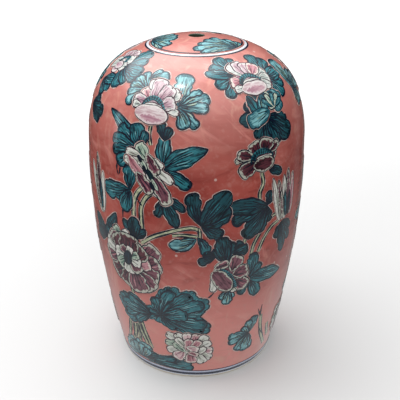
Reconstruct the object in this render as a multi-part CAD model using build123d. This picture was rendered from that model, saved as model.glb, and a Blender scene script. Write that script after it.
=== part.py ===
from build123d import *
import os

# Lidded porcelain jar, in millimetres. The origin is the middle of the plane the foot rests on, +Z up.
# It is two fired pieces: the hollow jar, and a low domed cap that drops flush into its mouth.
# Each piece is drawn as half of its cross-section, x being the radius, and turned about Z.

# ---- driving dimensions: the outside -----------------------------------------------------
HEIGHT = 320.0  # resting plane to the crown of the cap
# The silhouette is a chain of arcs, each tangent to the last, from the crown down past the foot.
# Each is (radius of curvature, degrees it turns). It makes the belly 204 mm and the foot 154 mm across.
CROWN = (137.0, 27.9)
SHOULDER = (63.0, 43.0)
UPPER_WALL = (130.0, 16.5)
BELLY = (705.0, 8.2)
LOWER_WALL = (975.0, 8.6)

# ---- driving dimensions: the jar's inside and base -----------------------------------------
WALL = 5.0  # shell thickness, square to the outside
BASE_THICKNESS = 7.0
RECESS_RADIUS = 68.0  # hollow under the base, inside the foot ring
RECESS_DEPTH = 5.0
FOOT_ROUND = 1.2  # rounding of the foot ring's edges
FLOOR_ROUND = 9.0  # rounding where the floor inside meets the wall

# ---- driving dimensions: mouth and cap ---------------------------------------------------
CAP_RADIUS = 42.2  # outside of the cap, at the visible seam
SEAM_GAP = 0.35  # clearance round the cap
SEAM_ROUND = 0.5  # rounding of both edges of the seam
SEAT_HEIGHT = 307.4  # ledge of the rebate that the cap rests on
MOUTH_RADIUS = 34.0  # clear opening inside the rebate
COLLAR_RADIUS = 45.0  # outside of the thickened ring of wall that carries the seat
COLLAR_DEPTH = 10.0  # and how far it reaches below the seat
COLLAR_ROUND = 2.0
FLANGE_RADIUS = 33.0  # outside of the cap's locating flange
FLANGE_WALL = 3.5
FLANGE_DROP = 9.0  # how far it reaches below the seat
FLANGE_ROUND = 1.0
CAP_THICKNESS = 6.0  # at the crown
CAP_HOLLOW_RISE = 2.6  # rise of the cap's domed underside
HOLE_RADIUS = 6.5  # straight bore through the crown
HOLE_ROUND = 0.8  # rounding at both ends of the bore

BEYOND = 400.0  # past every wall, for shapes that only cut


def box_section(inner, outer, bottom, top):
    """A rectangle of the cross-section, between two radii and two heights."""
    return Pos((inner + outer) / 2, (bottom + top) / 2) * Rectangle(outer - inner, top - bottom)


def silhouette_face(inset):
    """Half of the cross-section inside the silhouette, moved in by an inset, down to the resting plane."""
    crown = Vector(0.0, HEIGHT - inset)
    place = crown
    heading = Vector(1.0, 0.0)
    edges = []
    for radius, turn in (CROWN, SHOULDER, UPPER_WALL, BELLY, LOWER_WALL):
        arc = JernArc(place, heading, radius - inset, -turn)
        place = arc @ 1
        heading = arc % 1
        edges.append(arc)
    below_foot = Vector(0.0, place.Y)
    edges.append(Line(place, below_foot))
    edges.append(Line(below_foot, crown))
    return make_face(Wire(edges)) & box_section(0.0, BEYOND, 0.0, BEYOND)


def rounded(face, radius, *corners):
    """Rounds the vertices of a cross-section that are nearest to the given (radius, height) corners."""
    found = []
    for corner in corners:
        found.append(min(face.vertices(), key=lambda vertex: (Vector(*vertex) - Vector(*corner)).length))
    return fillet(found, radius).faces()[0]


def turned(face, name):
    """Stands a cross-section upright, turns it about Z into one solid, and names it."""
    piece = revolve(Plane.XZ * face, Axis.Z, 360).solids()[0]
    piece.label = name
    return piece


def jar_body():
    """Foot ring, recessed base, wall, shoulder, and a mouth with a rebate for the cap."""
    floor = RECESS_DEPTH + BASE_THICKNESS
    collar_bottom = SEAT_HEIGHT - COLLAR_DEPTH
    cavity = silhouette_face(WALL)
    cavity -= box_section(0.0, BEYOND, 0.0, floor)
    cavity -= box_section(MOUTH_RADIUS, COLLAR_RADIUS, collar_bottom, HEIGHT)
    face = silhouette_face(0.0) - cavity
    face -= box_section(0.0, MOUTH_RADIUS, collar_bottom, BEYOND)
    face -= box_section(0.0, CAP_RADIUS + SEAM_GAP, SEAT_HEIGHT, BEYOND)
    face -= box_section(0.0, RECESS_RADIUS, 0.0, RECESS_DEPTH)
    face = face.faces()[0]
    foot_outside = face.bounding_box().max.X
    face = rounded(face, FOOT_ROUND, (foot_outside, 0.0), (RECESS_RADIUS, 0.0))
    face = rounded(face, FLOOR_ROUND, (RECESS_RADIUS + WALL, floor))
    face = rounded(face, COLLAR_ROUND, (MOUTH_RADIUS, collar_bottom), (COLLAR_RADIUS, collar_bottom))
    face = rounded(face, SEAM_ROUND, (CAP_RADIUS + SEAM_GAP, HEIGHT))
    return turned(face, "jar_body")


def cap_hollow():
    """The space under the cap, inside its flange, with a domed ceiling."""
    radius = FLANGE_RADIUS - FLANGE_WALL
    ceiling = HEIGHT - CAP_THICKNESS
    springing = ceiling - CAP_HOLLOW_RISE
    bottom = SEAT_HEIGHT - FLANGE_DROP
    dome = ThreePointArc((-radius, springing), (0.0, ceiling), (radius, springing))
    right = Line((radius, springing), (radius, bottom))
    across = Line((radius, bottom), (-radius, bottom))
    left = Line((-radius, bottom), (-radius, springing))
    return make_face(Wire([dome, right, across, left]))


def lid():
    """Domed cap with a locating flange underneath and a plain round hole through its middle."""
    bottom = SEAT_HEIGHT - FLANGE_DROP
    inside = FLANGE_RADIUS - FLANGE_WALL
    face = silhouette_face(0.0) & box_section(HOLE_RADIUS, CAP_RADIUS, SEAT_HEIGHT, BEYOND)
    face += box_section(HOLE_RADIUS, FLANGE_RADIUS, bottom, SEAT_HEIGHT)
    face -= cap_hollow()
    face = face.faces()[0]
    face = rounded(face, FLANGE_ROUND, (FLANGE_RADIUS, bottom), (inside, bottom))
    face = rounded(face, COLLAR_ROUND, (inside, HEIGHT - CAP_THICKNESS - CAP_HOLLOW_RISE))
    face = rounded(face, SEAM_ROUND, (CAP_RADIUS, HEIGHT))
    face = rounded(face, HOLE_ROUND, (HOLE_RADIUS, HEIGHT), (HOLE_RADIUS, HEIGHT - CAP_THICKNESS))
    return turned(face, "lid")


os.makedirs("parts", exist_ok=True)
for piece in (jar_body(), lid()):
    export_step(piece, f"parts/{piece.label}.step")
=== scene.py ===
"""Ginger jar: painted decoration, glaze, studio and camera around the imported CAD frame.

Places on the painted wall are written (angle, height): degrees round the jar, 0 being the side that
faces the camera and rising to the right, and millimetres up the wall, measured along its curve from
the foot. Places on the lid are written (x, y) in millimetres from its middle.
"""

import math
from collections import defaultdict

import bpy
import numpy as np
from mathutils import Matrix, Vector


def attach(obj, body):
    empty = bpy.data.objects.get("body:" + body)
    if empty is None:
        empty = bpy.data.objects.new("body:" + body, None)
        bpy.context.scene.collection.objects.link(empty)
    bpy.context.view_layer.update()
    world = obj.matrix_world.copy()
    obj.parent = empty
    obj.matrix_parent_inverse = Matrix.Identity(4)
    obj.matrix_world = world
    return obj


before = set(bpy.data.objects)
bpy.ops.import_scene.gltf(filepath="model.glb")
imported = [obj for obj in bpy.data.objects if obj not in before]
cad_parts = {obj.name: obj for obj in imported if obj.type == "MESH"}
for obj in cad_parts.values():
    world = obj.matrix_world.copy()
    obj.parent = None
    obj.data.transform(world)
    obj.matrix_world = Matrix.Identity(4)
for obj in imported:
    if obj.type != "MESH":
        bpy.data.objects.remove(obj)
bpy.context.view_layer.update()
rng = np.random.default_rng(20)

MM = 0.001


def add_to_scene(name, data):
    thing = bpy.data.objects.new(name, data)
    bpy.context.scene.collection.objects.link(thing)
    return thing


# ---- the outside surface, read from the frame ----


def outer_profile():
    """Radius and height, in mm, of the jar's outside from the foot to the crown: a convex outline."""
    found = []
    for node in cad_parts.values():
        co = np.array([v.co for v in node.data.vertices]) / MM
        found.append(np.stack([np.hypot(co[:, 0], co[:, 1]), co[:, 2]], 1))
    points = np.unique(np.round(np.concatenate(found), 3), axis=0)
    chain = []
    for r, z in sorted(points.tolist(), key=lambda p: (p[1], p[0])):
        if chain and z - chain[-1][1] < 0.02:
            if r <= chain[-1][0]:
                continue
            chain.pop()
        while len(chain) > 1:
            (r0, z0), (r1, z1) = chain[-2:]
            if (r1 - r0) * (z - z0) > (r - r0) * (z1 - z0):
                break
            chain.pop()
        chain.append((r, z))
    return np.array(chain)


def curve_through(knots, values, at):
    """A smooth curve through the values at the knots, evaluated at other places."""
    slope = np.gradient(values, knots, axis=0)
    i = np.clip(np.searchsorted(knots, at) - 1, 0, len(knots) - 2)
    h = knots[i + 1] - knots[i]
    u = (at - knots[i]) / h
    if values.ndim > 1:
        u, h = u[..., None], h[..., None]
    a, b = values[i], values[i + 1]
    ta, tb = slope[i] * h, slope[i + 1] * h
    return (
        a * (1 + 2 * u) * (1 - u) ** 2
        + ta * u * (1 - u) ** 2
        + b * u * u * (3 - 2 * u)
        + tb * u * u * (u - 1)
    )


def travelled(across, up):
    """How far along a line each of its places is, from the steps between them."""
    return np.concatenate([[0], np.cumsum(np.hypot(across, up))])


PROFILE = outer_profile()
FOOT_OFFSET = 1.5  # the rounding of the foot's edge makes the outline this much longer
ARC = travelled(*np.diff(PROFILE, axis=0).T) - FOOT_OFFSET


def radius(height):
    return np.interp(height, ARC, PROFILE[:, 0])


def per_degree(height):
    return radius(height) * math.pi / 180


def place(angle, height, lift=0.0):
    """Points and outward normals, in metres, a little way off the glaze."""
    angle, height = np.broadcast_arrays(np.asarray(angle, float), np.asarray(height, float))
    step = 0.4  # mm up and down the wall, for its slope
    here = curve_through(ARC, PROFILE, height)
    along = curve_through(ARC, PROFILE, height + step) - curve_through(ARC, PROFILE, height - step)
    out = np.stack([along[..., 1], -along[..., 0]], -1)
    out /= np.linalg.norm(out, axis=-1, keepdims=True)
    here = here + out * np.asarray(lift)[..., None]
    turn = np.radians(angle)
    points = np.stack([here[..., 0] * np.sin(turn), -here[..., 0] * np.cos(turn), here[..., 1]], -1)
    normals = np.stack([out[..., 0] * np.sin(turn), -out[..., 0] * np.cos(turn), out[..., 1]], -1)
    return points * MM, normals


SHOULDER = 290.0  # mm: above this the radius alone says where a place is
LID_PAINT = (8.2, 41.0)  # mm: the lid is painted between these radii


def at_radius(r):
    """Height, along the curve, of a place near the top given by its radius."""
    top = PROFILE[:, 1] > SHOULDER
    return np.interp(-np.asarray(r, float), -PROFILE[top, 0], ARC[top])


def on_lid(x, y):
    """Angle and height of a place on the lid given in mm from its middle."""
    return np.degrees(np.arctan2(x, -np.asarray(y))), at_radius(np.clip(np.hypot(x, y), *LID_PAINT))


# ---- colour ----


def rgb(code):
    """Scene-linear colour, opaque, of a six-digit display colour."""
    parts = [int(code[i : i + 2], 16) / 255 for i in (0, 2, 4)]
    return (*(c / 12.92 if c <= 0.04045 else ((c + 0.055) / 1.055) ** 2.4 for c in parts), 1.0)


# Each pigment is (deep, pale): the two ends of its brush shading. Leaves and petals also have what
# their edge fades to.
PIGMENT = {
    "teal": ("062C38", "378590", "0B3C4A"),
    "dark": ("031820", "215560", "06212B"),
    "light": ("215C69", "8BC8CE", "1E606E"),
    "sage": ("54786C", "BBD0BC", "D2DCCB"),
    "mauve": ("4E2434", "8A5462", "D6D8CA"),
    "plum": ("33121D", "67303C", "CACDBF"),
    "pink": ("C28D96", "F0CFD0", "F6F0E8"),
    "rose": ("A05C68", "D79CA4", "EDE4DA"),
    "cream": ("B4BAAB", "F0F1EA", "F3F1E9"),
    "haze": ("9F7585", "D6BEC4", "E0DCDA"),
    "milk": ("98A49E", "DCE0DC", "E2E2DC"),
    "blush": ("BFA0A6", "E0D4D4", "E4E0DC"),
    "flush": ("AB7A8A", "CDA5AE", "DECCCE"),
    "night": ("04101E", "123448", "071A2A"),
    "stalk": ("8B9A7B", "DFE0BE"),
    "ink": ("02060F", "0C1E3A"),
    "wine": ("1C0C18", "552C42"),
    "slip": ("B97067", "F3E9E0"),
    "band_white": ("D8DDEA", "F7F7F8"),
    "band_deep_blue": ("020F33", "072450"),
    "band_night": ("04091A", "10203E"),
    "band_lavender": ("B4BCDA", "DDE1EE"),
}
# The paler colour of the strokes beside the veins of each.
GLINT = {
    "teal": "light", "dark": "teal", "light": "sage", "haze": "milk",
    "plum": "mauve", "mauve": "rose", "rose": "pink", "pink": "cream",
}


# ---- painting: everything is a patch lying on the glaze ----

SKIRT = -0.05  # mm: the edge of every patch is turned down to just under the glaze
KINDS = {"brush": ("FLOAT_VECTOR", "vector"), "rim": ("FLOAT", "value")}  # the others are colours
layers = {}


class Layer:
    """Patches of one paint that end up as one mesh object on one body."""

    def __init__(self, name, body, material):
        self.name, self.body, self.material = name, body, material
        self.points, self.normals, self.faces = [], [], []
        self.values = defaultdict(list)
        self.count = 0

    def patch(self, angle, height, lift, brush, rim, pigment):
        """Adds a grid of places, (rows, columns), with its edge turned down to the glaze."""
        angle, height = np.pad(angle, 1, "edge"), np.pad(height, 1, "edge")
        lifts = np.pad(np.full(np.array(angle.shape) - 2, lift), 1, constant_values=SKIRT)
        points, normals = (x.reshape(-1, 3) for x in place(angle, height, lifts))
        rows, columns = angle.shape
        size = rows * columns
        corner = self.count + np.arange(size).reshape(rows, columns)
        quads = [corner[:-1, :-1], corner[:-1, 1:], corner[1:, 1:], corner[1:, :-1]]
        quads = np.stack(quads, -1).reshape(-1, 4)
        # the winding follows the outward normal
        middle = rows // 2 * columns + columns // 2 - 1
        a = points[middle + 1] - points[middle]
        b = points[middle + columns] - points[middle]
        if np.cross(a, b) @ normals[middle] < 0:
            quads = quads[:, ::-1]
        self.points.append(points)
        self.normals.append(normals)
        self.faces.append(quads)
        self.count += size
        self.values["brush"].append(np.pad(brush, ((1, 1), (1, 1), (0, 0)), "edge").reshape(-1, 3))
        self.values["rim"].append(np.pad(rim, 1, "edge").reshape(-1))
        for key, code in zip(("deep", "pale", "edge"), PIGMENT[pigment]):
            self.values[key].append(np.tile(rgb(code), (size, 1)))

    def build(self):
        mesh = bpy.data.meshes.new(self.name)
        points, faces = np.concatenate(self.points), np.concatenate(self.faces)
        mesh.from_pydata(points.tolist(), [], faces.tolist())
        mesh.shade_smooth()
        mesh.normals_split_custom_set_from_vertices(np.concatenate(self.normals).tolist())
        for key, values in self.values.items():
            kind, field = KINDS.get(key, ("FLOAT_COLOR", "color"))
            data = np.concatenate(values).astype(np.float32)
            mesh.attributes.new(key, kind, "POINT").data.foreach_set(field, data.ravel())
        mesh.materials.append(bpy.data.materials[self.material])
        thing = add_to_scene(self.name, mesh)
        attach(thing, self.body)


def layer(name, body, material):
    if name not in layers:
        layers[name] = Layer(name, body, material)
    return layers[name]


# Heights over the glaze, in mm.
FIRST_LIFT = 0.2  # a motif's first stroke at level 0
LEVEL_STEP = 0.22  # between one level of motifs and the next
BLOSSOM_LEVEL = 0.3  # a blossom is this much of a level over the leaves of its own level
SLIP_UNDER = 0.05  # a motif's pale slip is this far under its first stroke
FILL_STEP = 0.025  # between one stroke and the next one painted over it
LINE_OVER = 0.013  # an outline over its stroke
SLIP_STEP = 0.001  # between one lobe's slip and the next
STEM_LIFT = 0.12
# Where one piece of the painting behind ends and the next begins, in mm up the wall.
UPPER_FROM, MIDDLE_FROM = 225, 125
NO_RIM = 3.0  # mm from the rim of a stroke: too far in for the rim's colour


class Brush:
    """Where the paint goes: which body, which group of lines, and how the design is moved round."""

    def __init__(self, body="jar", lines="front", mirror=False, turn=0.0):
        self.body, self.lines = body, lines
        self.mirror, self.turn = mirror, turn
        self.raise_to(0)

    def where(self, angle, height):
        return self.turn + np.asarray(angle) * (-1 if self.mirror else 1), np.asarray(height)

    def raise_to(self, level):
        """Starts a new motif: its slip goes under all of its strokes."""
        self.lift = FIRST_LIFT + LEVEL_STEP * level
        self.under = self.lift - SLIP_UNDER

    def group(self, kind, name, base):
        """The piece a motif belongs to: its own on the front, one of a few large ones behind."""
        if self.lines != "back":
            return name
        tier = "upper" if base[1] > UPPER_FROM else "middle" if base[1] > MIDDLE_FROM else "lower"
        return f"back_{kind}_{tier}"


def sampled(path, step=1.5):
    """A smooth line through a few places on the wall."""
    path = np.array(path, float)
    mean = per_degree((path[1:, 1] + path[:-1, 1]) / 2)
    knots = travelled(np.diff(path[:, 0]) * mean, np.diff(path[:, 1]))
    at = np.linspace(0, knots[-1], max(4, int(knots[-1] / step) + 1))
    line = curve_through(knots, path, at)
    return line[:, 0], line[:, 1], at


def brush_at(along, across, seed):
    """How far along and across its stroke each place is, and the stroke's own seed."""
    return np.stack(np.broadcast_arrays(along, across, seed), -1)


def steps(angle, height):
    """The steps along a line in mm, sideways and up, their lengths, and how many mm a degree is."""
    scale = per_degree(height)
    tx, ty = np.gradient(angle) * scale, np.gradient(height)
    return tx, ty, np.hypot(tx, ty), scale


def ribbon(target, angle, height, width, lift, pigment):
    """A painted line of changing width along places on the wall."""
    angle = np.degrees(np.unwrap(np.radians(angle)))
    tx, ty, size, scale = steps(angle, height)
    size = size + 1e-9
    side = np.array([-0.5, 0.5]) * np.broadcast_to(width, angle.shape)[:, None]
    a = angle[:, None] - side * (ty / size / scale)[:, None]
    h = height[:, None] + side * (tx / size)[:, None]
    along = travelled(np.diff(angle) * scale[1:], np.diff(height))
    brush = brush_at(along[:, None], side, rng.uniform(0, 50))
    target.patch(a, h, lift, brush, np.full_like(a, NO_RIM), pigment)


def pressed(n, depth):
    """The width of a stroke along its length, as the pressure of the hand changes."""
    waves = np.sin(np.linspace(0, 1, n) * rng.uniform(6, 14) + rng.uniform(0, 6))
    ends = np.minimum(1, 0.45 + 2.5 * np.minimum(np.linspace(0, 1, n), np.linspace(1, 0, n)))
    return (1 + depth * waves) * ends


def ink(brush, angle, height, width, pigment="ink", lift=None):
    """A hand-drawn dark line, over the stroke just painted unless it is given a lift."""
    lift = lift or brush.lift + LINE_OVER
    target = layer(f"outline_ink_{brush.lines}", brush.body, "outline_ink")
    ribbon(target, angle, height, width * pressed(len(angle), 0.35), lift, pigment)


def slip(brush, angle, height, width, lift):
    """Pale slip left showing round a stroke."""
    target = layer(f"slip_edge_{brush.lines}", brush.body, "pale_slip")
    ribbon(target, angle, height, width, lift, "slip")


# Each stroke: how its width changes from its base to its tip, as the powers of t and 1 - t; how deep
# the nicks in its edge are; and how far its tip is drawn back between scallops, as a share of its length.
STROKES = {
    "leaf": (0.75, 0.55, 0.14, 0.0),
    "spear": (0.70, 0.85, 0.06, 0.0),
    "lobe": (0.95, 0.38, 0.22, 0.1),
    "petal": (0.60, 0.30, 0.16, 0.12),
    "oval": (0.50, 0.50, 0.04, 0.0),
    "streak": (0.45, 0.60, 0.12, 0.0),
    "wash": (0.50, 0.50, 0.05, 0.0),
}
# Outline and slip widths, in mm.
LEAF_LINE, LEAF_SLIP = 1.25, 1.15
PETAL_LINE, PETAL_SLIP = 0.85, 1.0
VEIN_SPREAD = 1.7  # how much of a lobe's width its veins are spread over, 2 being all
GLINT_WIDTH = 0.9  # mm: a paler stroke beside a vein
PALE = ("pink", "rose", "cream", "haze", "milk", "blush")  # petals outlined in wine, not navy


def glint(brush, target, line, pigment):
    """A paler stroke beside a vein, from a third of the way along it."""
    a, h = (x[len(x) // 3 :] for x in line)
    ribbon(target, a, h, GLINT_WIDTH * pressed(len(a), 0.3), brush.lift + LINE_OVER / 2, GLINT[pigment])


def ragged(t, depth):
    """How far a lobe's edge wanders, and is nicked where the brush lifted: 1 along most of it."""
    edge = 1 + 0.07 * np.sin(rng.uniform(9, 15) * t + rng.uniform(0, 6)) * np.sin(math.pi * t)
    for nick in rng.uniform(0.45, 0.93, 2):
        edge = edge - depth * np.exp(-(((t - nick) / 0.05) ** 2))
    return edge


def blade(brush, target, base, tip, width, pigment, stroke, bend, veins, line=LEAF_LINE, halo=LEAF_SLIP):
    """One leaf lobe or petal: a filled stroke, its outline and veins, and pale slip showing round it."""
    flat = brush.body == "lid"
    base, tip = np.array(base, float), np.array(tip, float)
    scale = 1.0 if flat else float(per_degree((base[1] + tip[1]) / 2))
    reach = (tip - base) * (scale, 1.0)
    length = float(np.hypot(*reach))
    along, across = reach / length, np.array([-reach[1], reach[0]]) / length
    rows, columns = max(12, int(length / 1.6)), max(7, 2 * int(width / 3) + 1)
    t = ((1 - np.cos(np.linspace(0, math.pi, rows))) / 2)[:, None]
    v = np.linspace(-1, 1, columns)[None, :]
    p, q, nick, scallop = STROKES[stroke]
    top = p / (p + q)
    shape = (np.maximum(t, 1e-6) ** p) * (np.maximum(1 - t, 1e-6) ** q) / (top**p * (1 - top) ** q)
    wobble = [ragged(t, nick) for _ in "lr"]
    half = np.maximum(0.5 * width * shape * np.where(v < 0, wobble[0], wobble[1]), 0.12)
    bites, turn = rng.choice((2, 3)), rng.uniform(-0.6, 0.6)

    def scalloped(tt, vv):
        """Shares of the length, drawn back where the tip is scalloped."""
        bite = scallop * (0.5 - 0.5 * np.cos(math.pi * bites * (vv + 1) + turn))
        return tt * (1 - bite * tt**5)

    def spot(tt, vv):
        """Places on the wall at a share of the length, and a signed share of the half width."""
        w = np.interp(tt, t[:, 0], half[:, 0]) * (vv < 0) + np.interp(tt, t[:, 0], half[:, -1]) * (vv >= 0)
        off = bend * np.sin(math.pi * tt) + w * vv
        far = scalloped(tt, vv) * length
        x = base[0] * scale + along[0] * far + across[0] * off
        y = base[1] + along[1] * far + across[1] * off
        return on_lid(x, y) if flat else brush.where(x / scale, y)

    angle, height = spot(t, v)
    angle = np.degrees(np.unwrap(np.radians(angle)))
    rim = np.minimum(half * (1 - np.abs(v)), (1 - t) * length * 0.7 + 0 * v)
    strokes = brush_at(t * length, v * half, rng.uniform(0, 50))
    edge_t = np.concatenate([t[1:, 0], t[-2:0:-1, 0]])
    edge_v = np.concatenate([-np.ones(rows - 1), np.ones(rows - 2)])
    edge = spot(edge_t, edge_v)
    if halo:
        spread = halo * 2 * rng.uniform(0.8, 1.1) * (0.8 + 0.5 * (pressed(len(edge_t), 0.6) - 0.8))
        slip(brush, *edge, spread, brush.under)
        brush.under += SLIP_STEP
    target.patch(angle, height, brush.lift, strokes, rim, pigment)
    dark = "wine" if pigment in PALE else "ink"
    if line:
        ink(brush, *edge, line, dark)
    for k in range(veins):
        side = ((k + 0.5) / veins - 0.5) * VEIN_SPREAD + rng.uniform(-0.06, 0.06)
        start, stop = rng.uniform(0.03, 0.16), rng.uniform(0.62, 0.94) - 0.2 * abs(side)
        tt = np.linspace(start, stop, max(6, int((stop - start) * length / 2)))
        spread_out = 0.35 + 0.65 * tt / stop
        fine = 0.55 if dark == "wine" else min(0.85, 0.2 * width / veins + 0.25)
        ink(brush, *spot(tt, side * spread_out), fine, dark)
        if pigment in GLINT and rng.uniform() < 0.7:
            beside = side + rng.choice((-0.5, 0.5)) * VEIN_SPREAD / veins
            glint(brush, target, spot(tt, np.clip(beside, -0.8, 0.8) * spread_out), pigment)
    brush.lift += FILL_STEP


SCALLOP_LENGTH, SCALLOP_DEPTH = 9.0, 2.2  # mm, along a broad leaf's edge
FAN_VEIN_STEP = 4.2  # mm along the edge from one vein to the next


def fan(brush, target, base, outline, pigment):
    """One broad leaf: joined lobes inside a scalloped edge, veins spreading from the stalk's end."""
    a, h, at = sampled(outline, 1.2)
    reach = np.hypot((a - base[0]) * per_degree(base[1]), h - base[1])
    scallops = np.abs(np.sin(math.pi * at / SCALLOP_LENGTH + rng.uniform(0, 3)))
    drawn = 1 - SCALLOP_DEPTH / reach * (1 - scallops) ** 2
    a, h = base[0] + (a - base[0]) * drawn, base[1] + (h - base[1]) * drawn
    t = np.linspace(0.03, 1.0, max(10, int(reach.max() / 3.5)))[:, None]

    def spot(tt, where):
        """Places at a share of the way out to the edge, aiming at a length along the edge."""
        x, y = np.interp(where, at, a), np.interp(where, at, h)
        return brush.where(base[0] + (x - base[0]) * tt, base[1] + (y - base[1]) * tt)

    angle, height = spot(t, at[None, :])
    strokes = brush_at(t * reach, 0.55 * at[None, :], 7.0)
    edge = brush.where(a, h)
    slip(brush, *edge, LEAF_SLIP * 2 * pressed(len(at), 0.35), brush.under)
    target.patch(angle, height, brush.lift, strokes, (1 - t) * reach, pigment)
    ink(brush, *edge, LEAF_LINE)
    for where in np.arange(3.0, at[-1] - 2.0, FAN_VEIN_STEP):
        long = rng.uniform() < 0.5
        start, stop = rng.uniform(0.05, 0.15) if long else rng.uniform(0.4, 0.6), rng.uniform(0.82, 0.95)
        far = float(np.interp(where, at, reach))
        tt = np.linspace(start, stop, max(6, int((stop - start) * far / 2)))
        sway = rng.uniform(-2.5, 2.5) * np.sin(math.pi * tt) / np.maximum(tt, 0.3)
        ink(brush, *spot(tt, where + sway), 0.9 if long else 0.75)
        if rng.uniform() < 0.6:
            glint(brush, target, spot(tt, where + 1.8 + sway), pigment)
    brush.lift += FILL_STEP


def stem(brush, path, width):
    """A stalk: pale green between two dark lines."""
    a, h, _ = sampled(path)
    a, h = brush.where(a, h)
    tx, ty, size, scale = steps(a, h)
    slip(brush, a, h, width + 2.0, STEM_LIFT - SLIP_UNDER)
    fill = layer(f"stalk_paint_{brush.lines}", brush.body, "stalk_enamel")
    ribbon(fill, a, h, width * (1 + 0.08 * np.sin(np.arange(len(a)))), STEM_LIFT, "stalk")
    for sign in (-1, 1):
        off = sign * width * 0.5
        ink(brush, a - off * ty / size / scale, h + off * tx / size, 1.35, lift=STEM_LIFT + LINE_OVER)


def twig(brush, path):
    """A single dark line."""
    a, h, _ = sampled(path)
    ink(brush, *brush.where(a, h), 1.5, lift=STEM_LIFT + 2 * LINE_OVER)


def stamens(brush, target, path, width):
    """The arc of stamens round a blossom's eye: a coloured band crossed by short dark ticks."""
    a, h, at = sampled(path, 1.2)
    a, h = brush.where(a, h)
    ribbon(target, a, h, width, brush.lift, "teal")
    tx, ty, size, scale = steps(a, h)
    ticks = np.linspace(0, len(a) - 1, max(4, int(at[-1] / 2.0)))
    reach = np.linspace(-0.55, 0.62, 4) * width
    for k in ticks:
        a0, h0, s0 = (np.interp(k, np.arange(len(a)), x) for x in (a, h, scale))
        nx = np.interp(k, np.arange(len(a)), ty / size)
        ny = np.interp(k, np.arange(len(a)), tx / size)
        ink(brush, a0 - reach * nx / s0, h0 + reach * ny, 0.8)
    brush.lift += FILL_STEP


# ---- the design ----
# Leaf: name, level, pigment, base, then each lobe as (tip angle, tip height, width, stroke, bend); an entry
# cut short is a straight "lobe". A broad leaf starts with "fan" and its outline, and its lobes lie on it.

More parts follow.
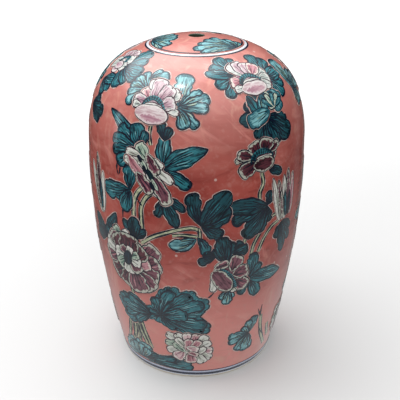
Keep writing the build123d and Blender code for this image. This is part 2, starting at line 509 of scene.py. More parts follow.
LEAVES = (
    ("leaf_left_shoulder", 0, "teal", (-62, 311), (
        (-56, 337, 14), (-50, 336, 15), (-45, 325, 12), (-56, 290, 13), (-50, 296, 10), (-43, 302, 10),
        (-40.5, 311, 13))),
    ("leaf_left_edge", 0, "teal", (-76, 291), ((-66, 280, 12), (-61, 287, 10), (-60, 297, 13))),
    ("leaf_left_edge_low", 0, "dark", (-76, 266), ((-65, 277, 10), (-61, 258, 11), (-58, 267, 13))),
    ("leaf_above_left_blossom", 0, "light", (-30, 296), (
        (-37, 313, 10), (-41.5, 307, 10), (-43.5, 299, 9), (-43, 291, 8), (-41.5, 282, 9), (-38, 284, 6))),
    ("leaf_tuft_over_left_blossom", 0, "light", (-32, 306), ((-25, 317, 9), (-18.5, 312, 12))),
    ("leaf_right_of_left_blossom", 1, "light", (-9.8, 284), (
        (-7, 315, 18), (3.2, 298, 10), (0.5, 268, 10), (-5, 267, 12), (7.2, 292, 12), (6.4, 284, 10))),
    ("leaf_under_left_blossom", 1, "dark", (-15.5, 256), ((-18, 271, 9), (-12.8, 267, 8))),
    ("leaf_three_blades", 0, "teal", (-16, 232), (
        (-15, 262, 13, "leaf", 1), (5.2, 250, 17, "spear", 2), (-3, 217, 12))),
    ("leaf_left_cluster", 0, "teal", (-28, 245), (
        (-50.5, 273, 12, "spear", -3), (-42, 262, 14), (-32, 267, 16), (-25.5, 262, 9), (-45.5, 251, 14),
        (-45, 240, 13), (-42, 229.5, 13), (-37, 233, 8))),
    ("leaf_three_lobes", 0, "teal", (-34, 207), (
        (-54, 201, 18, "leaf", 2), (-33.5, 230, 15, "lobe", 1), (-38.5, 185, 15, "leaf", -1))),
    ("leaf_under_side_view_blossom", 0, "dark", (-16, 206), (
        (-19.5, 187, 9), (-5.5, 195, 9, "leaf", 1), (-9.5, 179, 12, "leaf"))),
    ("leaf_left_of_peony", 0, "dark", (-57, 146), (
        (-66, 166, 16, "leaf"), (-68, 147, 14, "leaf"), (-45, 179, 15, "spear", -2), (-52, 160, 12))),
    ("leaf_above_peony", 1, "dark", (-33, 161), (
        (-39.5, 177, 9, "leaf"), (-26, 171, 9, "leaf"), (-32.5, 182, 14, "leaf"))),
    ("leaf_pale_on_branch", 1, "light", (0, 168), ((-10.5, 155, 7, "leaf", -2), (-13.8, 160, 13, "leaf", 2))),
    ("leaf_bud_on_branch", 1, "teal", (0.3, 170), ((5, 152, 10, "lobe", 2),)),
    ("leaf_middle", 1, "dark", (2, 181), (
        (-2, 212, 14, "lobe", 2), (12.5, 170, 14), (16.5, 196, 17, "leaf", -2), (15.8, 212, 20, "leaf"))),
    ("leaf_right_big", 0, "dark", (37, 191), (
        (40.6, 203, 13), (37.5, 174, 13), (31, 167, 16, "lobe", 1), (24.5, 164.5, 19, "lobe", 1),
        (17.5, 182, 14, "lobe", -1), (14.8, 196, 17, "leaf", -1))),
    ("leaf_left_of_right_blossom", 0, "teal", (27, 311), (
        (31, 332, 11), (19.5, 335, 14), (12, 302, 11), (18.5, 291, 10), (10.5, 324, 12), (6, 316, 11, "leaf"))),
    ("leaf_right_of_right_blossom", 0, "teal", (50, 303), (
        (56, 331, 17), (64, 322, 13), (58, 283, 12), (63, 292, 10), (68, 305, 15, "leaf"))),
    ("leaf_under_right_blossom", 0, "dark", (38, 271), (
        (31, 292, 10), (26, 284, 10), (21.8, 271, 13, "leaf"), (30.5, 254, 13), (38, 251, 12), (45, 246, 14),
        (52.5, 262, 13), (54, 250, 18))),
    ("leaf_tip_of_plum_blossom", 0, "dark", (37, 227), ((46.5, 218, 9, "leaf"),)),
    ("leaf_under_edge_blossom", 0, "dark", (49, 168), (
        (45, 153, 10), (58.5, 157, 10, "leaf"), (58, 145, 11, "leaf"), (52, 135, 12, "leaf"))),
    ("leaf_over_low_blossom", 1, "dark", (15.5, 141), ((8.5, 157, 9), (17.5, 163, 11), (12, 168.5, 16))),
    ("leaf_dark_blob", 1, "dark", (18, 151), ((23, 162, 9), (26.8, 154, 13))),
    ("leaf_round_pair", 1, "dark", (9.5, 149), ((3.5, 153, 8), (0.8, 143.5, 9))),
    ("leaf_right_of_low_blossom", 0, "teal", (29.5, 119), (
        (20.5, 110, 9), (24, 103, 9), (36, 97, 13), (31, 146, 13), (36, 133, 9), (53.5, 114, 16, "spear", 1))),
    ("leaf_small_under_low_blossom", 1, "light", (17.5, 111), ((13, 101, 8), (19.5, 101, 8), (16.5, 94.5, 10))),
    ("leaf_great_fan", 0, "teal", (-21, 80), ("fan", (
        (-33, 79), (-31.5, 86), (-28.5, 88), (-25.8, 95), (-23, 102), (-21, 109), (-17, 114), (-13, 116),
        (-10, 114.5), (-8, 111), (-5, 113), (-2, 112.5), (0.2, 109), (1.2, 104.5), (3.5, 104.5), (6, 102.5),
        (7.3, 98), (7, 93), (5, 88), (3, 84), (3.8, 79), (7, 74), (8.5, 68), (7, 61.5), (4, 58), (0.5, 57),
        (-2.2, 59.5), (-5, 61), (-8, 59.5), (-11, 61.5), (-13.5, 64.5), (-17, 65.5), (-21, 68), (-25, 70.5),
        (-31, 72), (-33, 79)),
        (-29, 82, 8), (-24, 100, 11), (-12, 65, 12), (-13, 110, 14, "lobe", 1), (4, 63, 14, "lobe", -1),
        (-3, 107, 14, "lobe", 1), (4, 97, 15, "lobe", 1), (6, 71, 14, "lobe", -1), (-5, 84, 16))),
    ("leaf_left_fan", 0, "teal", (-27, 78), ("fan", (
        (-29.5, 86), (-32.5, 90), (-36, 94), (-40, 96), (-44, 93), (-47.5, 92), (-51, 88), (-54, 82),
        (-53.5, 76), (-51, 70), (-50.5, 65), (-47.5, 60), (-43, 57), (-40, 60), (-36.5, 63.5), (-33, 67),
        (-30, 70)),
        (-49, 67, 11, "lobe", -1), (-44, 90, 12, "lobe", 1), (-40, 62, 10, "lobe", -1), (-51, 80, 13))),
    ("leaf_bottom", 0, "light", (-42, 11), ("fan", (
        (-57, 9), (-60, 14), (-58.5, 22), (-54.5, 30), (-50, 35), (-46, 33.5), (-43, 36), (-39, 34),
        (-35, 34.5), (-31.5, 30), (-30.5, 23), (-30, 16), (-31, 9.5)),
        (-55, 22, 11), (-48, 30, 12), (-40, 31, 11), (-34, 27, 10))),
    ("leaf_bottom_long", 0, "teal", (-38, 14), ("fan", (
        (-36, 24), (-31, 26), (-26, 24), (-21, 25.5), (-16, 27.5), (-11, 26.5), (-7, 23.5), (-4, 20),
        (-2.3, 15), (-3, 10), (-10, 9.4), (-20, 9.2), (-30, 9.2), (-37, 9.4)),
        (-26, 22, 8, "lobe", 1), (-14, 23, 9, "lobe", 1))),
    ("leaf_right_low", 0, "light", (35, 49), (
        (38.5, 69, 11), (33.5, 66, 9), (29.5, 59, 7), (20.3, 51, 11), (37.5, 27, 9), (20.5, 43, 9),
        (27, 30, 12), (33, 26, 11))),
)

# Blossom: name, level, then each petal as (base angle, height, tip angle, height, width, pigment, stroke);
# without a stroke it is a "petal". A stamen arc is ("stamens", width, path), in its place in the order.

BLOSSOMS = (
    ("blossom_left_edge_pink", 0, (
        (-72, 315, -68, 331, 13, "haze"), (-72, 315, -61, 321, 13, "milk"), (-72, 315, -61, 307, 11, "milk"),
        (-72, 314, -70, 300, 11, "haze"), (-73, 315, -82, 327, 14, "haze"), (-73, 314, -84, 306, 14, "milk"),
        ("stamens", 4, ((-76, 311), (-75, 318), (-70, 320), (-67, 314))),
        (-76, 309, -65, 309, 9, "haze", "oval"))),
    ("blossom_left", 1, (
        (-33, 288, -13, 286, 20, "haze", "oval"), (-26, 291, -27, 307, 9, "milk"),
        (-19, 288, -9.5, 297, 12, "milk"), (-16, 281, -9, 279, 6, "milk"), (-27, 289, -31.5, 297, 9, "rose"),
        (-27, 286, -36.5, 287.5, 11, "haze"), (-24, 288, -21.5, 308, 15, "haze"),
        (-21, 287, -14, 301, 14, "haze"), (-19, 284, -11.5, 288, 13, "haze"), (-31, 283, -36, 283, 7, "milk"),
        ("stamens", 4.2, ((-29.5, 281), (-28, 287), (-24.5, 290), (-20.5, 288), (-17.5, 280.5))),
        (-29, 283, -18, 282, 7, "milk", "oval"), (-33.5, 277.5, -14.5, 275, 16, "blush", "oval"),
        (-30.5, 274, -17, 271.5, 8, "flush", "wash"))),
    ("blossom_right", 1, (
        (26, 305, 49, 304, 24, "haze", "oval"), (43, 306, 52.3, 311, 12, "milk"),
        (43, 304, 52.3, 300, 13, "milk"), (42, 301, 50, 294.5, 9, "milk"), (35, 309, 25.5, 324, 14, "milk"),
        (36, 309, 32.5, 326, 14, "haze"), (38, 309, 41, 323, 15, "haze"), (40, 308, 47.5, 320, 13, "rose"),
        (30, 303, 21.5, 304, 12, "rose"), (30, 298, 23, 297, 7, "milk"),
        ("stamens", 4.4, ((28.5, 301), (30.5, 306.5), (35.5, 309), (40, 307), (43.5, 302))),
        (30, 302, 43, 302, 7, "milk", "oval"), (27.5, 296.5, 46, 296.5, 13.5, "blush", "oval"),
        (30, 295, 44.5, 295.5, 8.5, "flush", "wash"))),
    ("bud_cluster", 1, (
        (29, 291, 33, 275, 10, "teal"), (44, 291, 50, 272.5, 13, "light"), (46, 291, 52, 281, 10, "light"),
        (41, 292, 35, 277, 9, "light"), (42, 291, 44, 275, 9, "sage"), (38, 291, 38.5, 275.5, 7, "light"),
        (44, 277, 37.5, 285, 4.6, "light"), (44.5, 277, 41, 289, 4.8, "sage"),
        (45, 277, 45.5, 289.5, 4.8, "light"), (45.5, 277, 49.5, 287, 4.8, "sage"),
        (46, 277, 52, 282.5, 4.6, "light"), (41, 275, 26.5, 268, 15, "light"))),
    ("blossom_plum_right", 1, (
        (23, 237, 42, 240, 24, "plum", "oval"), (29, 244, 18.2, 237, 6, "plum"), (31, 241, 28, 252, 14, "plum"),
        (36, 241, 43.8, 247, 9, "plum"), (34, 241, 37, 253, 16, "plum"), (29, 239, 19.5, 243.5, 10, "plum"),
        (30, 235, 21, 225, 15, "plum"),
        ("stamens", 5.2, ((27.5, 234), (28.5, 240), (32.5, 243), (37, 240.5), (39, 236))),
        (30, 237.5, 39, 238, 4, "cream", "oval"), (28, 231, 40.5, 232, 14, "plum", "oval"))),
    ("blossom_side_view", 1, (
        (-34, 246, -15, 205, 19, "cream", "oval"), (-24, 238, -29, 251.5, 12, "sage"),
        (-27, 240, -36, 243, 9, "cream"), (-26, 236, -37, 235, 9, "cream"), (-22, 240, -16, 232, 8, "cream"),
        (-20, 232, -11, 220, 8, "cream"), (-35, 240, -25.5, 219, 11, "rose"),
        (-30, 226, -21.5, 208.5, 12, "mauve"), (-24.5, 244, -18.5, 226, 10, "mauve"),
        (-21, 226, -13.5, 200, 13, "mauve"), (-27.5, 238, -24, 229, 4.5, "sage", "oval"),
        (-24, 230, -20.5, 220, 4.5, "dark", "oval"), (-21.5, 222, -18.5, 212, 4, "sage", "oval"),
        (-26, 233, -24.5, 226, 3, "night", "oval"), (-22.5, 219, -20.5, 212, 3, "night", "oval"),
        (-29, 241, -27, 236, 3, "night", "oval"))),
    ("blossom_peony", 1, (
        (-51, 131, -22.5, 133, 46, "plum", "oval"), (-42, 155, -47, 166, 10, "sage"),
        (-36, 155, -40, 166, 9, "cream"), (-44, 138, -56, 131, 19, "mauve"), (-44, 140, -55, 147, 18, "cream"),
        (-42, 146, -51, 157, 16, "mauve"), (-30, 138, -20.5, 155, 20, "mauve"),
        (-30, 130, -19.2, 140, 21, "mauve"), (-41, 126, -51, 113, 20, "plum"), (-38, 124, -43, 105, 19, "plum"),
        (-32, 127, -19.8, 122, 20, "mauve"), (-33, 126, -24, 107, 21, "mauve"),
        (-36, 126, -32, 101, 24, "mauve"), (-40, 140, -47, 158, 19, "plum"), (-33, 134, -25, 140, 20, "rose"),
        (-36, 138, -27.5, 152, 21, "plum"), (-38, 138, -37, 163, 26, "plum"), (-39, 138, -48, 140, 14, "cream"),
        (-39, 136, -46, 126, 14, "sage"), (-38, 135, -38.5, 120, 14, "cream"),
        (-37, 136, -31, 124, 14, "mauve"), (-37, 137, -29.8, 134, 12, "cream"),
        (-37, 139, -31, 144, 10, "sage"), (-39, 140, -42.5, 149, 10, "mauve"), (-38, 140, -36, 150, 9, "cream"),
        (-39.5, 129, -37.5, 145, 9.5, "night", "oval"))),
    ("blossom_right_edge", 0, (
        (47, 170, 40.5, 215, 7, "cream", "streak"), (49, 170, 44.5, 211, 7, "mauve", "streak"),
        (51, 170, 49, 214, 8, "cream", "streak"), (53, 172, 52.5, 218, 8, "mauve", "streak"),
        (56, 172, 57, 212, 8, "rose", "streak"), (49, 172, 47, 200, 5, "mauve", "streak"),
        (52, 172, 50, 198, 5, "teal", "streak"), (54, 172, 54.5, 196, 5, "night", "streak"))),
    ("blossom_left_edge_plum", 0, (
        (-58, 172, -66, 218, 9, "cream", "streak"), (-57, 172, -60, 229, 9, "plum", "streak"),
        (-56, 174, -54.5, 214, 8, "cream", "streak"), (-59, 175, -62.5, 206, 6, "plum", "streak"),
        (-57, 176, -57, 205, 5, "teal", "streak"))),
    ("blossom_low", 1, (
        (10.5, 129, 26.5, 125, 28, "mauve", "oval"), (11, 141, 8.5, 111, 8, "cream"),
        (9, 137, 17, 142, 9, "mauve"), (17, 124, 21, 108, 8, "cream"), (20, 122, 28, 112, 15, "mauve"),
        (19, 128, 28, 131, 16, "mauve"), (18, 132, 22, 148, 14, "mauve"),
        ("stamens", 6, ((11.5, 134), (15.5, 130), (18.5, 122), (20.5, 113))),
        (8.5, 134, 18.5, 110.5, 16, "mauve", "oval"))),
    ("blossom_pale_ruffled", 1, (
        (-16, 41, 7, 40, 34, "cream", "oval"), (-8, 50, -19, 57, 10, "cream"), (-8, 45, -20, 46, 10, "sage"),
        (-8, 40, -19.5, 36, 10, "cream"), (-8, 37, -14, 25, 13, "pink"), (-6, 46, -12.5, 60, 10, "cream"),
        (-4, 46, -6.5, 61, 10, "pink"), (-2, 46, 0.5, 60.5, 10, "rose"), (0, 45, 6, 58, 10, "cream"),
        (0, 42, 9, 49, 10, "cream"), (1, 38, 10.5, 37, 11, "pink"), (1, 35, 9.5, 27, 10, "cream"),
        (0, 34, 4.5, 20.5, 11, "cream"), (-4, 35, -3.5, 20.5, 12, "rose"), (-7, 36, -14.5, 47, 8, "sage"),
        (-7, 42, -12.5, 54, 8, "cream"), (-2, 33, 6, 42, 8, "cream"), (-6.5, 38, -4, 54, 9, "rose"),
        (-4, 40, 2.5, 52, 9, "rose"), (-6.5, 43, 1.5, 39, 9, "pink"), (-6, 36, 1.5, 32, 7, "rose"))),
)

# Stem: width, then the places it passes. Twig: the places it passes.
STEMS = (
    (3.6, ((-26.5, 213), (-29.5, 207), (-31.8, 198), (-32.5, 188), (-32.4, 178))),
    (3.6, ((-20.8, 210), (-25, 203.5), (-27.6, 195), (-28.2, 182), (-27.6, 167))),
    (3.2, ((-29, 157), (-22.5, 166), (-15, 172.5), (-8, 177), (-1, 178.5), (2, 176))),
    (2.6, ((-12, 170.5), (-6, 171.5), (1.2, 170))),
    (2.6, ((1.5, 179), (1.6, 168))),
    (3.0, ((33, 224), (34, 213), (32.2, 205), (32.5, 196))),
    (2.8, ((50.5, 174), (44.5, 179), (38.5, 175.5), (33, 164), (30, 154), (29, 145))),
    (2.8, ((47, 171), (41.5, 168), (36.5, 158.5), (33.3, 146))),
    (2.6, ((25.6, 168), (24.4, 159))),
    (3.0, ((-39.5, 104), (-38, 91))),
    (9.0, ((-41, 63), (-42, 46), (-42.5, 30))),
    (3.4, ((-36, 66), (-34.8, 54), (-33.2, 44), (-31.2, 31))),
    (3.4, ((-39, 64), (-38.2, 54), (-36.4, 44), (-34, 33))),
    (3.6, ((-42, 62), (-42.2, 52), (-43.8, 42), (-47, 32))),
    (3.2, ((-46, 62), (-47.6, 50), (-49.8, 40), (-52, 30))),
    (2.4, ((-40.5, 60), (-40.4, 50), (-39.4, 42), (-40.5, 34))),
    (3.8, ((43.2, 66), (45, 52), (47.5, 40), (51, 30), (55.5, 19))),
    (3.4, ((53, 48), (55, 38), (58, 28))),
    (2.4, ((-23.2, 269), (-23.4, 258), (-22.5, 251))),
)
TWIGS = (
    ((-30, 201), (-28.6, 197), (-27.2, 195)),
    ((-42.3, 229), (-42.5, 223), (-41.5, 218)),
    ((-40.2, 226), (-40.8, 219)),
    ((-39.5, 187), (-39.8, 178)),
    ((9.8, 111), (7.6, 106), (6.3, 104)),
    ((42.8, 79), (42.6, 72), (43.4, 65)),
    ((39.8, 76), (41.5, 70), (43.2, 64)),
    ((45, 47), (47, 42), (50, 37)),
)


def paint_leaf(brush, entry):
    """Paints one leaf of the design."""
    name, level, pigment, base, lobes = entry
    brush.raise_to(level)
    target = layer(brush.group("leaves", name, base), brush.body, "leaf_enamel")
    if lobes[0] == "fan":
        fan(brush, target, base, lobes[1], pigment)
        lobes = lobes[2:]
    for lobe in lobes:
        angle, height, width, stroke, bend = lobe + ("lobe", 0)[len(lobe) - 3 :]
        veins = max(2, min(5, int(width / 3)))
        blade(brush, target, base, (angle, height), width, pigment, stroke, bend, veins)


def paint_blossom(brush, entry):
    """Paints one blossom of the design."""
    name, level, petals = entry
    brush.raise_to(level + BLOSSOM_LEVEL)
    target = layer(brush.group("blossoms", name, petals[0]), brush.body, "petal_enamel")
    for petal in petals:
        if petal[0] == "stamens":
            stamens(brush, target, petal[2], petal[1])
            continue
        a0, h0, a1, h1, width, pigment, stroke = petal + ("petal",)[len(petal) - 6 :]
        plain = pigment == "night" or width < 7 or stroke in ("oval", "wash")
        veins = 0 if plain else max(1, int(width / 6))
        line, halo = (0.0, 0.0) if stroke == "wash" else (PETAL_LINE, PETAL_SLIP)
        blade(brush, target, (a0, h0), (a1, h1), width, pigment, stroke, 0.0, veins, line, halo)


def paint_all(brush, names=None):
    """Paints the whole design, or only the motifs named."""
    brush.raise_to(0)
    if not names:
        for width, path in STEMS:
            stem(brush, path, width)
        for path in TWIGS:
            twig(brush, path)
    for paint, entries in ((paint_leaf, LEAVES), (paint_blossom, BLOSSOMS)):
        for entry in entries:
            if not names or entry[0] in names:
                paint(brush, entry)


# ---- materials ----


GLAZE_ROUGHNESS, GLAZE_COAT = 0.2, 0.35


def surface(name, roughness, coat=0.0):
    """A new material with its shader, its numbers set straight on the shader's sockets."""
    m = bpy.data.materials.new(name)
    m.use_nodes = True
    shader = m.node_tree.nodes["Principled BSDF"]
    shader.inputs["Roughness"].default_value = roughness
    shader.inputs["IOR"].default_value = 1.5
    shader.inputs["Coat Weight"].default_value = coat
    shader.inputs["Coat Roughness"].default_value = 0.06
    return m, shader


def node(m, kind, inputs=(), **settings):
    """Adds a shader node; an input is a value, or another node's output, by name or by number."""
    made = m.node_tree.nodes.new("ShaderNode" + kind)
    for key, value in settings.items():
        setattr(made, key, value)
    for key, value in dict(inputs).items():
        if isinstance(value, bpy.types.NodeSocket):
            m.node_tree.links.new(value, made.inputs[key])
        else:
            made.inputs[key].default_value = value
    return made


def noise(m, vector, scale, detail=3, distortion=0):
    values = {"Vector": vector, "Scale": scale, "Detail": detail, "Distortion": distortion}
    return node(m, "TexNoise", values).outputs["Fac"]


def scaled(m, vector, amounts):
    return node(m, "Mapping", {"Vector": vector, "Scale": amounts}).outputs["Vector"]


def band(m, value, low, high):
    """0 below low, 1 above high, smooth between."""
    values = {"Value": value, "From Min": low, "From Max": high}
    return node(m, "MapRange", values, interpolation_type="SMOOTHSTEP").outputs["Result"]


def mixed(m, amount, first, second):
    return node(m, "Mix", {0: amount, 6: first, 7: second}, data_type="RGBA").outputs[2]


def maths(m, operation, *values):
    return node(m, "Math", dict(enumerate(values)), operation=operation).outputs[0]


def washed(m, amount, strength, colour, code):
    """One colour washed over another, here more and there less, and nowhere more than the strength."""
    return mixed(m, times(m, amount, strength), colour, rgb(code))


def times(m, first, second):
    return maths(m, "MULTIPLY", first, second)


def attribute(m, name, kind="Vector"):
    return node(m, "Attribute", attribute_name=name).outputs[kind]


def link(m, output, shader, name):
    m.node_tree.links.new(output, shader.inputs[name])


# Places on the CAD pieces, in metres.
TOP_WASH_AND_LIGHT, LOW_WASH_AND_LIGHT = (0.195, 0.305), (0.162, 0.05)  # heights between which the ground gets paler, partly as a thinner wash, partly as painted light on the crown and the foot
MIDDLE = (0, 0, 0.15)  # of the jar
FLANGE_RADIUS, FLANGE_TOP = 0.0425, 0.3108
FOOT_TOP = 0.0032
BORE_RADIUS, BORE_FROM = 0.0074, 0.3


def glazed_ground():
    """Coral wash brushed over white porcelain, with bare clay on the foot and pale glaze inside; its paler
    crown and foot and darker belly are partly painted light and shade, and the bore is painted dark as shade.
    """
    m, shader = surface("porcelain_ground", GLAZE_ROUGHNESS, GLAZE_COAT)
    where = node(m, "TexCoord").outputs["Object"]
    split = node(m, "SeparateXYZ", {"Vector": where})
    height = split.outputs["Z"]
    wash = noise(m, where, 15, 3, 0.7)
    drag = noise(m, scaled(m, where, (55, 55, 16)), 1, 4, 1.3)
    sweep = noise(m, scaled(m, where, (24, 24, 70)), 1, 4, 1.6)
    fine = noise(m, where, 240, 3)
    colour = mixed(m, band(m, wash, 0.34, 0.66), rgb("A13D34"), rgb("C35B50"))
    # painted light: paler towards the crown, as if lit by the ceiling, and towards the foot, as if lit by the
    # floor's bounce; partly also the wash's own paler tone there
    top, low = band(m, height, *TOP_WASH_AND_LIGHT), band(m, height, *LOW_WASH_AND_LIGHT)
    colour = washed(m, top, 0.72, colour, "D1887F")
    colour = washed(m, low, 0.9, colour, "F29A91")
    # the wash drags paler most where it is thinner and where light is painted at the crown and the foot; round
    # the middle of the belly it drags darker, as painted shade
    thin_and_lit = maths(m, "MULTIPLY_ADD", maths(m, "MAXIMUM", top, low), 0.75, 0.25)
    dense_and_shaded = times(m, maths(m, "SUBTRACT", 1, thin_and_lit), 0.7)
    colour = washed(m, band(m, sweep, 0.47, 0.3), dense_and_shaded, colour, "8A2F28")
    colour = washed(m, band(m, sweep, 0.53, 0.68), times(m, thin_and_lit, 0.5), colour, "DE9386")
    colour = washed(m, band(m, drag, 0.55, 0.72), times(m, thin_and_lit, 0.65), colour, "E4AA96")
    slanted = node(m, "Mapping", {"Vector": where, "Rotation": (0.5, 0.9, 0)}).outputs["Vector"]
    smear = noise(m, scaled(m, slanted, (75, 40, 14)), 1, 5, 1.2)
    patchy = band(m, noise(m, where, 16, 1), 0.45, 0.62)
    patchy = times(m, patchy, maths(m, "MULTIPLY_ADD", thin_and_lit, 0.6, 0.22))
    colour = washed(m, band(m, smear, 0.5, 0.66), patchy, colour, "EE9F93")
    colour = washed(m, band(m, fine, 0.52, 0.75), 0.3, colour, "D2958A")
    cells = node(m, "TexVoronoi", {"Vector": where, "Scale": 34})
    colour = washed(m, band(m, cells.outputs["Distance"], 0.055, 0.03), 0.7, colour, "EBCFC6")
    # inside and underneath: where the surface faces the middle of the jar, or looks down
    geometry = node(m, "NewGeometry")
    out = node(m, "VectorMath", {0: where, 1: MIDDLE}, operation="SUBTRACT")
    facing = node(m, "VectorMath", {0: out.outputs[0], 1: geometry.outputs["Normal"]},
                  operation="DOT_PRODUCT").outputs["Value"]
    flat = node(m, "CombineXYZ", {"X": split.outputs["X"], "Y": split.outputs["Y"]})
    across = node(m, "VectorMath", {0: flat.outputs[0]}, operation="LENGTH").outputs["Value"]
    down = node(m, "SeparateXYZ", {"Vector": geometry.outputs["Normal"]}).outputs["Z"]
    inside = maths(m, "LESS_THAN", facing, 0)
    flange = times(m, maths(m, "LESS_THAN", across, FLANGE_RADIUS),
                   maths(m, "LESS_THAN", height, FLANGE_TOP))
    foot = maths(m, "LESS_THAN", height, FOOT_TOP)
    inner = maths(m, "MAXIMUM", maths(m, "MAXIMUM", inside, flange), maths(m, "LESS_THAN", down, -0.6))
    pale = mixed(m, band(m, wash, 0.3, 0.7), rgb("D9DCCB"), rgb("EEEDE2"))
    clay = mixed(m, fine, rgb("C9BCA6"), rgb("E4DACA"))
    colour = mixed(m, inner, colour, pale)
    # painted shade: the wall of the bore through the lid is coloured dark, as the shade inside the hole
    bore_shade = times(m, maths(m, "LESS_THAN", across, BORE_RADIUS),
                 maths(m, "GREATER_THAN", height, BORE_FROM))
    colour = mixed(m, bore_shade, colour, rgb("3C4A3C"))
    link(m, mixed(m, foot, colour, clay), shader, "Base Color")
    rough = node(m, "MapRange",
                 {"Value": maths(m, "MAXIMUM", foot, times(m, fine, 0.2)),
                  "To Min": 0.17, "To Max": 0.75})
    link(m, rough.outputs["Result"], shader, "Roughness")
    swell = noise(m, where, 55, 2)
    bump = node(m, "Bump", {"Strength": 0.25, "Distance": 0.0004, "Height": swell})
    link(m, bump.outputs["Normal"], shader, "Normal")
    return m


def painted(name, along, across, rim_width):
    """Overglaze colour laid on in strokes along each petal or lobe, thinner and paler where it drags."""
    m, shader = surface(name, GLAZE_ROUGHNESS, GLAZE_COAT)
    brush = attribute(m, "brush")
    strokes = noise(m, scaled(m, brush, (along, across, 1)), 1, 3, 0.3)
    pools = noise(m, scaled(m, brush, (0.16, 0.22, 1)), 1, 2, 0.6)
    amount = maths(m, "ADD", times(m, strokes, 0.8), times(m, pools, 0.4))
    start = node(m, "SeparateXYZ", {"Vector": brush}).outputs["X"]
    amount = maths(m, "SUBTRACT", amount, times(m, band(m, start, 12, 1), 0.12))
    colour = mixed(m, band(m, amount, 0.44, 0.7), attribute(m, "deep", "Color"),
                   attribute(m, "pale", "Color"))
    ruffle = noise(m, scaled(m, brush, (0.45, 0.45, 1)), 1, 3, 0.5)
    wander = times(m, maths(m, "SUBTRACT", ruffle, 0.32), rim_width * 3.6)
    edge = maths(m, "SUBTRACT", attribute(m, "rim", "Fac"), wander)
    rim = band(m, edge, rim_width * 0.6, rim_width * 0.1)
    colour = mixed(m, times(m, rim, 0.9), colour, attribute(m, "edge", "Color"))
    link(m, colour, shader, "Base Color")


def brushed(name, roughness, spread):
    """A line or band of colour, its strength changing along the stroke."""
    m, shader = surface(name, roughness, GLAZE_COAT)
    amount = noise(m, scaled(m, attribute(m, "brush"), (0.35, 0.8, 1)), 1, 3)
    colour = mixed(m, band(m, amount, 0.5 - spread, 0.5 + spread), attribute(m, "deep", "Color"),
                   attribute(m, "pale", "Color"))
    link(m, colour, shader, "Base Color")


painted("leaf_enamel", 0.07, 0.85, 0.9)
painted("petal_enamel", 0.09, 0.7, 1.45)
brushed("stalk_enamel", 0.2, 0.25)
brushed("outline_ink", 0.22, 0.35)
brushed("pale_slip", 0.25, 0.3)
brushed("band_enamel", 0.2, 0.3)
ground = glazed_ground()
for cad_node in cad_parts.values():
    cad_node.data.materials.clear()
    cad_node.data.materials.append(ground)

# ---- rings round the mouth and the foot ----


def ring(name, body, low, high, pigment, lift=0.1, wander=0.12):
    """A band painted round the jar while it turned on the wheel."""
    turns = np.linspace(0, 360, 181)
    shake = sum(
        rng.uniform(-1, 1) * np.sin(np.radians(turns * k) + rng.uniform(0, 6)) / math.sqrt(k)
        for k in (1, 2, 5, 9)
    )
    middle = (low + high) / 2 + wander * 0.5 * shake
    half = (high - low) / 2 * (1 + wander * 0.3 * np.roll(shake, 40))
    side = np.linspace(-1, 1, 4)[None, :]
    height = middle[:, None] + half[:, None] * side
    angle = np.repeat(turns[:, None], 4, 1)
    brush = brush_at(turns[:, None] * per_degree(middle)[:, None], side, 3.0)
    layer(name, body, "band_enamel").patch(angle, height, lift, brush, np.full_like(height, NO_RIM), pigment)


ring("mouth_band_white", "jar", at_radius(45.3), at_radius(43.1), "band_white", 0.12)
ring("mouth_line_outer", "jar", at_radius(46.6), at_radius(45.1), "band_night", 0.14)
ring("lid_line_navy", "lid", at_radius(41.7), at_radius(40.1), "band_night", 0.12)
ring("foot_band_pale", "jar", 1.2, 2.8, "band_white", 0.08, 0.05)
ring("foot_band_navy", "jar", 2.6, 5.8, "band_deep_blue", 0.16)
ring("foot_band_lavender", "jar", 5.7, 8.0, "band_lavender", 0.12)
ring("foot_line_upper", "jar", 7.9, 8.8, "band_deep_blue", 0.14)

# ---- the painting ----

paint_all(Brush(lines="front"))
paint_all(Brush(lines="back", mirror=True, turn=180.0))
# What is repeated on the sides, between the front and the back, and how far round it is turned.
LOW_SPRAY = ("leaf_over_low_blossom", "leaf_round_pair", "leaf_small_under_low_blossom", "blossom_low")
SIDES = (
    (80.0, ("leaf_right_of_left_blossom", "leaf_middle", "leaf_pale_on_branch", "leaf_bud_on_branch",
            "blossom_pale_ruffled")),
    (101.0, ("leaf_three_blades", "leaf_great_fan")),
    (122.0, ("leaf_tuft_over_left_blossom", "leaf_under_left_blossom", "blossom_left")),
    (74.0, LOW_SPRAY),
    (252.0, LOW_SPRAY),
    (263.0, ("leaf_middle", "leaf_pale_on_branch", "leaf_bud_on_branch")),
    (272.0, ("leaf_three_blades", "leaf_great_fan", "blossom_pale_ruffled", "leaf_right_of_left_blossom")),
)
for turn, names in SIDES:
    paint_all(Brush(lines="back", turn=turn), names)

LID_LEAVES = (
    ("lid_leaf_right", 0, "light", (36, -22), (
        (36, -6, 10), (24, -7, 12), (12, -9, 12), (6, -17, 12), (1, -26, 11), (-2.5, -35, 11), (4, -41, 10))),
    ("lid_leaf_left", 0, "light", (-40, 4), (
        (-32, -26, 9), (-24, -22, 11), (-18, -9, 12), (-16.5, 1, 11), (-20, 12, 12), (-30, 22, 12))),
    ("lid_leaf_back", 0, "teal", (16, 38), (
        (-6, 36, 11), (-3, 26, 11), (6, 18, 11), (17, 16, 11), (27, 22, 11), (34, 24, 9))),
)
lid_brush = Brush(body="lid", lines="lid")
for lid_leaf in LID_LEAVES:
    paint_leaf(lid_brush, lid_leaf)

for made in layers.values():
    made.build()

# ---- studio ----


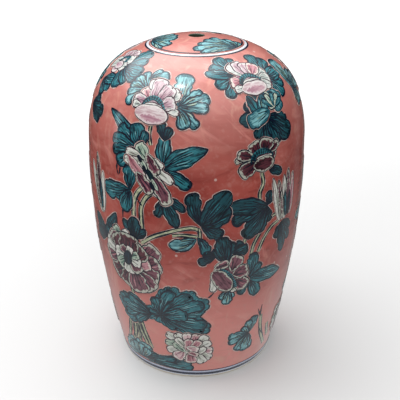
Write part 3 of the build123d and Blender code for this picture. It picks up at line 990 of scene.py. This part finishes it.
def floor():
    """A wide pale table top, faintly mottled, that curves up into a pale wall far away all round."""
    m, shader = surface("floor_paint", 0.6)
    where = node(m, "TexCoord").outputs["Object"]
    split = node(m, "SeparateXYZ", {"Vector": where})
    # a mid grey near the jar, and nearly white up the wall and at the back: painted light, as if a lamp lit the
    # backdrop
    tint_and_backdrop_light = mixed(m, noise(m, where, 3.0, 3.0), (0.6, 0.6, 0.6, 1), (0.64, 0.64, 0.64, 1))
    far = maths(m, "MAXIMUM", band(m, split.outputs["Z"], 0.0, 1.2), band(m, split.outputs["Y"], 0.2, 1.3))
    tint_and_backdrop_light = mixed(m, far, tint_and_backdrop_light, (0.95, 0.95, 0.95, 1))
    link(m, tint_and_backdrop_light, shader, "Base Color")
    flat, bend, top, sides = 4.5, 1.5, 6.0, 64
    curve = [(r, 0.0) for r in np.linspace(0.01, flat, 10)]
    for a in np.radians(np.arange(6, 91, 6)):
        curve.append((flat + bend * math.sin(a), bend * (1 - math.cos(a))))
    curve.append((flat + bend, top))
    turns = np.linspace(0, 2 * math.pi, sides, endpoint=False)
    verts = [(r * math.cos(t), r * math.sin(t), z) for r, z in curve for t in turns]
    faces = []
    for j in range(len(curve) - 1):
        for i in range(sides):
            k = (i + 1) % sides
            faces.append((j * sides + i, (j + 1) * sides + i, (j + 1) * sides + k, j * sides + k))
    faces.append(tuple(range(sides)))
    mesh = bpy.data.meshes.new("studio_floor")
    mesh.from_pydata(verts, [], faces)
    mesh.shade_smooth()
    mesh.materials.append(m)
    thing = add_to_scene("studio_floor", mesh)
    # the glaze is lit and reflected by the studio's own dim ground, not by this bright sheet
    thing.visible_diffuse = thing.visible_glossy = thing.visible_shadow = False


def area_light(name, where, aim, size, power, glint=False):
    """A soft rectangular light, white; a glint only shows as a highlight in the glaze."""
    data = bpy.data.lights.new(name, "AREA")
    data.shape, data.size, data.size_y = "RECTANGLE", *size
    data.energy = power
    lamp = add_to_scene(name, data)
    lamp.location = where
    direction = Vector(aim) - Vector(where)
    lamp.rotation_mode = "QUATERNION"
    lamp.rotation_quaternion = direction.to_track_quat("-Z", "Y")
    lamp.visible_diffuse = not glint


CEILING, FRONT, GROUND, DIM = 1.3, 0.46, 0.56, 0.13  # brightness of each part of the surroundings


def studio_world():
    """Light from all round: a bright ceiling, a softer front, and dim sides, back and ground."""
    w = bpy.data.worlds.new("studio")
    bpy.context.scene.world = w
    w.use_nodes = True
    background = w.node_tree.nodes["Background"]
    background.inputs["Color"].default_value = (1.0, 1.0, 1.0, 1.0)
    way = node(w, "TexCoord").outputs["Generated"]
    split = node(w, "SeparateXYZ", {"Vector": way})
    y, z = split.outputs["Y"], split.outputs["Z"]
    ceiling = times(w, band(w, z, 0.3, 0.85), CEILING)
    front = times(w, band(w, y, -0.15, -0.9), band(w, z, -0.3, 0.35))
    front = times(w, front, FRONT)
    ground = times(w, band(w, z, -0.3, -0.8), GROUND)
    uneven = noise(w, scaled(w, way, (5.0, 5.0, 1.0)), 1.0, 2.0)
    dim = times(w, band(w, uneven, 0.3, 0.7), DIM * 1.2)
    total = maths(w, "ADD", maths(w, "ADD", ceiling, front), maths(w, "ADD", ground, dim))
    link(w, total, background, "Strength")


floor()
studio_world()
area_light("key_overhead", (-0.72, 0.4, 1.9), (0, 0, 0.1), (2.2, 2.2), 35.5)
area_light("card_over_shoulder", (-0.30, -0.30, 1.65), (-0.0124, -0.0757, 0.295), (0.15, 0.11), 1.9,
           glint=True)
area_light("strip_front", (0.14, -1.05, 1.29), (0.005, -0.0876, 0.282), (0.05, 0.7), 0.8)
area_light("strip_left", (-1.6, -0.05, 0.3), (-0.066, -0.074, 0.26), (0.16, 0.7), 0.7)
bpy.context.scene.view_settings.view_transform = "Standard"

PITCH = math.radians(25.3)
DISTANCE = 0.740
AIM_HEIGHT = 0.1566
LENS, SENSOR, SHIFT = 67.37, 36.0, 0.0085
camera_data = bpy.data.cameras.new("camera")
camera_data.lens, camera_data.sensor_width, camera_data.shift_x = LENS, SENSOR, SHIFT
camera = add_to_scene("camera", camera_data)
camera.location = (0.0, -DISTANCE * math.cos(PITCH), AIM_HEIGHT + DISTANCE * math.sin(PITCH))
camera.rotation_euler = (math.pi / 2 - PITCH, 0.0, 0.0)
bpy.context.scene.camera = camera
